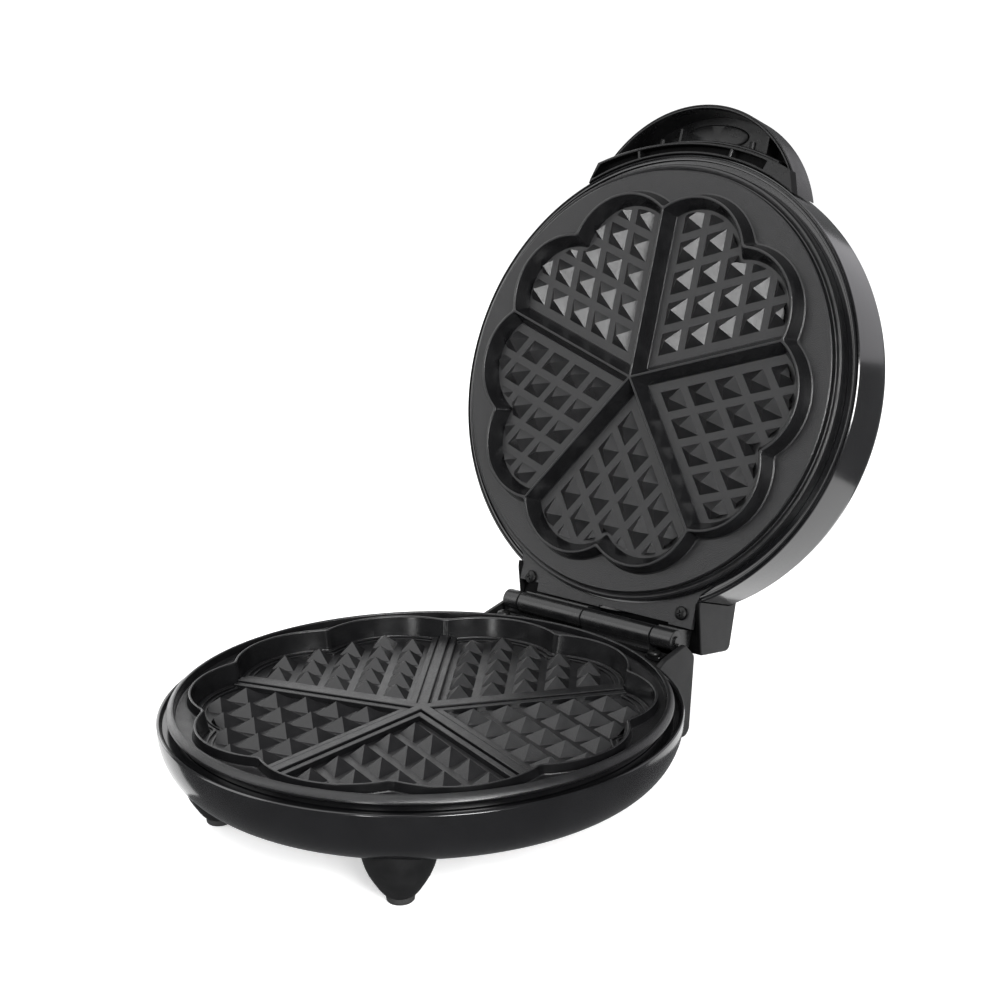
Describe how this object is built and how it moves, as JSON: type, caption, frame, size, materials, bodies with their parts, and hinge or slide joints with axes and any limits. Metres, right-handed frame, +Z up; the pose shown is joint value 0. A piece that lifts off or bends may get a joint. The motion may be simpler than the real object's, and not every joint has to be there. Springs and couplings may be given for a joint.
{
  "type": "waffle maker",
  "caption": "Round heart-pattern waffle maker, lid open on a rear hinge, with sunken base plate, ridged lid plate, hollow handle, feet and a coiled power cord.",
  "frame": {"origin": "on the floor, below the centre of the whole object's box without its cord, with the lid open as in the picture", "axes": "+Z up, +Y towards the hinge and the cord, +X along the hinge axis"},
  "size_m": [0.2326, 0.3272, 0.2798],
  "materials": {
    "black_enamel": "glossy black enamel",
    "nonstick": "dark satin non-stick coating",
    "black_plastic": "fine matte grain",
    "dark_steel": "blackened, satin",
    "steel": "bright zinc",
    "aluminium": "mill finish sheet",
    "ceramic": "unglazed white",
    "rubber": "matte",
    "cord_pvc": "soft satin",
    "nickel": "nickel plate",
    "red_lens": "clear tinted",
    "green_lens": "clear tinted"
  },
  "bodies": {
    "base": {"base_casing": "black_enamel", "base_plate": "nonstick", "base_rear_housing": "black_plastic", "cord_clamp": "black_plastic", "foot_front_left": "black_plastic", "foot_front_right": "black_plastic", "foot_rear_left": "black_plastic", "foot_rear_right": "black_plastic", "strain_relief": "rubber", "foot_tip_front_left": "rubber", "foot_tip_front_right": "rubber", "foot_tip_rear_left": "rubber", "foot_tip_rear_right": "rubber", "base_hinge_leaf": "dark_steel", "base_hinge_screw_left": "dark_steel", "base_hinge_screw_right": "dark_steel", "hinge_pin": "steel", "base_heating_element": "steel", "base_heat_shield": "aluminium", "thermostat": "ceramic", "thermal_fuse": "ceramic", "terminal_block": "ceramic", "power_cord": "cord_pvc", "cord_coil": "cord_pvc", "plug_lead": "cord_pvc", "plug_body": "cord_pvc", "plug_blade_left": "nickel", "plug_blade_right": "nickel"},
    "lid": {"lid_casing": "black_enamel", "lid_plate": "nonstick", "lid_rear_housing": "black_plastic", "handle_shell": "black_plastic", "handle_bracket": "black_plastic", "lid_hinge_leaf": "dark_steel", "lid_hinge_screw_left": "dark_steel", "lid_hinge_screw_right": "dark_steel", "handle_screw_left": "dark_steel", "handle_screw_right": "dark_steel", "lid_heating_element": "steel", "lid_heat_shield": "aluminium", "indicator_lamp_left": "ceramic", "indicator_lamp_right": "ceramic", "indicator_lens_left": "red_lens", "indicator_lens_right": "green_lens"}
  },
  "joints": [
    {"name": "lid_hinge", "type": "hinge", "parent": "base", "child": "lid", "pos_m": [0, 0.05663, 0.0506], "axis": [1, 0, 0], "range_deg": [0, 108]}
  ]
}
